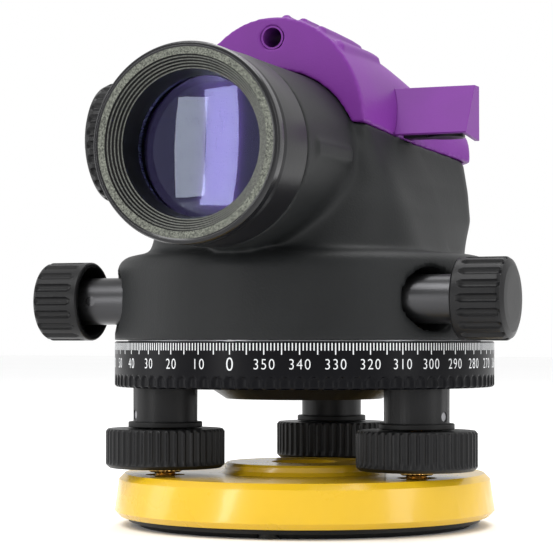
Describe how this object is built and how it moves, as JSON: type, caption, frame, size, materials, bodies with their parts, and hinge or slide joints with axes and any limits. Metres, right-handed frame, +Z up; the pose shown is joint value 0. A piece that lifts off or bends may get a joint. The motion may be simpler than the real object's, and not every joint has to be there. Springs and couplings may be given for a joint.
{
  "type": "automatic level",
  "caption": "Surveyor's automatic level: telescope with compensator and tangent screw on a graduated circle, footscrews and a round base plate.",
  "frame": {"origin": "centre of the underside, where the vertical axis meets the surface it stands on", "axes": "+Z up along the vertical axis; +Y towards the eyepiece, so the objective looks along -Y; +X towards the bubble hood"},
  "size_m": [0.1354, 0.1845, 0.1401],
  "materials": {
    "body_black": "satin grained paint",
    "cover_purple": "satin paint",
    "base_yellow": "gloss paint",
    "knob_black": "matt moulded",
    "circle_black": "satin with white marks",
    "hood_black": "satin",
    "plate_black": "satin",
    "steel": "turned",
    "dark_steel": "blackened, satin",
    "bright_screw": "polished",
    "brass": "turned",
    "aluminium": "machined",
    "optical_glass": "coated",
    "mirror": "silvered",
    "rubber": "matt",
    "vial_glass": "clear"
  },
  "bodies": {
    "base": {"bottom_plate": "plate_black", "bottom_screws": "steel", "base_plate": "base_yellow", "spring_plate": "steel", "levelling_head": "body_black", "footscrew_bushes": "brass", "footscrew_collars": "plate_black", "housing_setscrews": "bright_screw", "bearing_bush": "steel", "clutch_spring": "steel"},
    "circle": {"horizontal_circle": "circle_black"},
    "alidade": {"body_casting": "body_black", "floor_plate": "aluminium", "floor_screws": "steel", "spindle": "steel", "spindle_nut": "brass", "worm_bushes": "brass", "objective_hood": "hood_black", "retaining_ring": "hood_black", "objective_lenses": "optical_glass", "guide_tube": "aluminium", "focus_bush": "brass", "compensator_frame": "aluminium", "damper_cup": "brass", "fixed_prisms": "optical_glass", "eyepiece_tube": "hood_black", "eyepiece_flange": "hood_black", "reticle_cell": "brass", "reticle_glass": "optical_glass", "cover": "cover_purple", "cover_screws": "dark_steel", "sight_tube": "hood_black", "mirror_hood": "cover_purple", "hood_mirror": "mirror", "vial_holder": "dark_steel", "vial": "vial_glass"},
    "worm_wheel": {"worm_wheel": "brass"},
    "tangent_drive": {"worm_shaft": "steel", "tangent_sleeves": "dark_steel", "tangent_knob_left": "knob_black", "tangent_knob_right": "knob_black", "sleeve_setscrews": "bright_screw"},
    "focus_drive": {"focus_shaft": "steel", "focus_knob": "knob_black"},
    "focus_cell": {"lens_cell": "brass", "focusing_lens": "optical_glass"},
    "compensator": {"pendulum": "aluminium"},
    "dioptre": {"dioptre_ring": "knob_black", "eyepiece_lenses": "optical_glass", "eyecup": "rubber"},
    "footscrew_1": {"footscrew_stem_1": "brass", "footscrew_nut_1": "brass", "footscrew_knob_1": "knob_black"},
    "footscrew_2": {"footscrew_stem_2": "brass", "footscrew_nut_2": "brass", "footscrew_knob_2": "knob_black"},
    "footscrew_3": {"footscrew_stem_3": "brass", "footscrew_nut_3": "brass", "footscrew_knob_3": "knob_black"}
  },
  "joints": [
    {"name": "circle_turn", "type": "hinge", "parent": "base", "child": "circle", "pos_m": [0, 0, 0.045], "axis": [0, 0, 1], "continuous": true},
    {"name": "alidade_turn", "type": "hinge", "parent": "base", "child": "alidade", "pos_m": [0, 0, 0.06], "axis": [0, 0, 1], "continuous": true},
    {"name": "tangent_turn", "type": "hinge", "parent": "alidade", "child": "tangent_drive", "pos_m": [0, -0.025, 0.0621], "axis": [1, 0, 0], "continuous": true},
    {"name": "worm_wheel_turn", "type": "hinge", "parent": "alidade", "child": "worm_wheel", "pos_m": [0, 0, 0.0621], "axis": [0, 0, 1], "continuous": true},
    {"name": "focus_turn", "type": "hinge", "parent": "alidade", "child": "focus_drive", "pos_m": [-0.04, -0.015, 0.107], "axis": [1, 0, 0], "range_deg": [-170, 170]},
    {"name": "focus_slide", "type": "slide", "parent": "alidade", "child": "focus_cell", "axis": [0, 1, 0], "range_m": [-0.0094, 0.0094]},
    {"name": "pendulum_swing", "type": "hinge", "parent": "alidade", "child": "compensator", "pos_m": [0, 0.03, 0.11], "axis": [1, 0, 0], "range_deg": [-0.3, 0.3]},
    {"name": "dioptre_turn", "type": "hinge", "parent": "alidade", "child": "dioptre", "pos_m": [0, 0.07, 0.0999], "axis": [0, 1, 0], "range_deg": [-150, 150]},
    {"name": "footscrew_turn_1", "type": "hinge", "parent": "base", "child": "footscrew_1", "pos_m": [0.0377, -0.01396, 0.02], "axis": [0, 0, 1], "range_deg": [-720, 720]},
    {"name": "footscrew_turn_2", "type": "hinge", "parent": "base", "child": "footscrew_2", "pos_m": [-0.00676, 0.03963, 0.02], "axis": [0, 0, 1], "range_deg": [-720, 720]},
    {"name": "footscrew_turn_3", "type": "hinge", "parent": "base", "child": "footscrew_3", "pos_m": [-0.03094, -0.02567, 0.02], "axis": [0, 0, 1], "range_deg": [-720, 720]}
  ],
  "couplings": [
    {"joint": "tangent_turn", "follows": "worm_wheel_turn", "ratio": 72},
    {"joint": "focus_turn", "follows": "focus_slide", "rad_per_m": 312.5}
  ]
}
